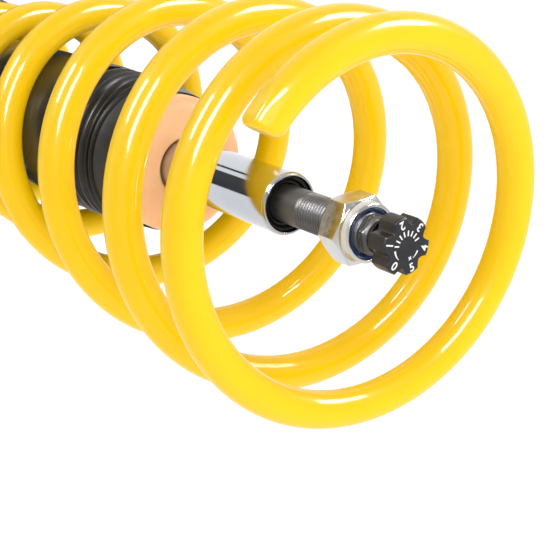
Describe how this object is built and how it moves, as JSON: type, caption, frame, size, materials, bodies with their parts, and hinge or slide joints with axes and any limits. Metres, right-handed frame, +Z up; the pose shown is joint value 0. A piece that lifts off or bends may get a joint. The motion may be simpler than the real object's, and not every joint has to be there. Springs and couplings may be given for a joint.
{
  "type": "coilover strut",
  "caption": "Adjustable coilover strut: conical coil spring on a threaded damper, with bump stop, dust boot, top nut and rebound knob.",
  "frame": {"origin": "centre of the flat bottom face of the strut's end cap", "axes": "+Z up along the strut axis towards the rebound knob; +X towards the open side of the knuckle bracket"},
  "size_m": [0.1376, 0.1244, 0.529],
  "materials": {
    "spring_powder_coat": "bright yellow gloss powder coat",
    "rod_chrome": "ground and polished hard chrome",
    "black_oxide_steel": "dark phosphate",
    "seat_ring_black": "gloss black",
    "zinc_plate": "bright zinc plate with a faint iridescent passivation",
    "blue_nylon": "dark blue nylon",
    "knob_plastic": "satin black moulding",
    "ground_steel": "ground steel",
    "seal_rubber": "black seal rubber",
    "boot_rubber": "satin black rubber",
    "bump_foam": "peach cellular polyurethane",
    "sintered_bronze": "sintered bronze",
    "white_plastic": "white fluoropolymer and print",
    "sleeve_plastic": "gloss brown-black",
    "housing_steel": "bright zinc-plated steel",
    "anodised_black": "black anodised aluminium",
    "pad_plastic": "black low-friction plastic"
  },
  "bodies": {
    "housing": {"strut_tube": "housing_steel", "end_cap": "housing_steel", "pressure_tube": "ground_steel", "base_valve": "ground_steel", "base_valve_shims": "ground_steel", "base_valve_bolt": "black_oxide_steel", "rod_guide": "ground_steel", "guide_bush": "sintered_bronze", "rod_seal": "seal_rubber", "gland_o_ring": "seal_rubber", "gland_nut": "black_oxide_steel", "dust_sleeve": "sleeve_plastic", "knuckle_bracket": "housing_steel", "link_tab": "housing_steel", "hose_tab": "housing_steel"},
    "rod": {"piston_rod": "rod_chrome", "threaded_stud": "black_oxide_steel", "stud_seat_ring": "seat_ring_black", "top_nut": "zinc_plate", "nylon_insert": "blue_nylon", "shaft_o_ring": "seal_rubber", "rebound_shims": "ground_steel", "piston": "sintered_bronze", "piston_band": "white_plastic", "compression_shims": "ground_steel", "piston_nut": "black_oxide_steel", "rebound_stop": "bump_foam", "rebound_stop_washer": "ground_steel"},
    "adjuster": {"rebound_knob": "knob_plastic", "adjuster_shaft": "ground_steel"},
    "needle": {"bleed_needle": "sintered_bronze"},
    "bump_stop": {"bump_stop": "bump_foam", "dust_boot": "boot_rubber"},
    "perch": {"spring_perch": "anodised_black", "perch_grub_screw": "black_oxide_steel", "spring_pad": "pad_plastic", "coil_spring": "spring_powder_coat"},
    "lock_ring": {"perch_lock_ring": "anodised_black"}
  },
  "joints": [
    {"name": "damper_stroke", "type": "slide", "parent": "housing", "child": "rod", "axis": [0, 0, 1], "range_m": [-0.085, 0], "stiffness_N_per_m": 300, "springref_m": 0.4, "deforming": ["coil_spring"]},
    {"name": "knob_turn", "type": "hinge", "parent": "rod", "child": "adjuster", "pos_m": [0, 0, 0.525], "axis": [0, 0, 1], "range_deg": [0, 300]},
    {"name": "needle_lift", "type": "slide", "parent": "rod", "child": "needle", "axis": [0, 0, 1], "range_m": [0, 0.000833]},
    {"name": "bump_stop_slide", "type": "slide", "parent": "housing", "child": "bump_stop", "axis": [0, 0, 1], "range_m": [0, 0.058]},
    {"name": "perch_height", "type": "slide", "parent": "housing", "child": "perch", "axis": [0, 0, 1], "range_m": [-0.06, 0.03]},
    {"name": "lock_ring_height", "type": "slide", "parent": "housing", "child": "lock_ring", "axis": [0, 0, 1], "range_m": [-0.06, 0.03]}
  ],
  "couplings": [
    {"joint": "knob_turn", "follows": "needle_lift", "rad_per_m": 6283.2},
    {"joint": "lock_ring_height", "follows": "perch_height", "ratio": 1}
  ]
}
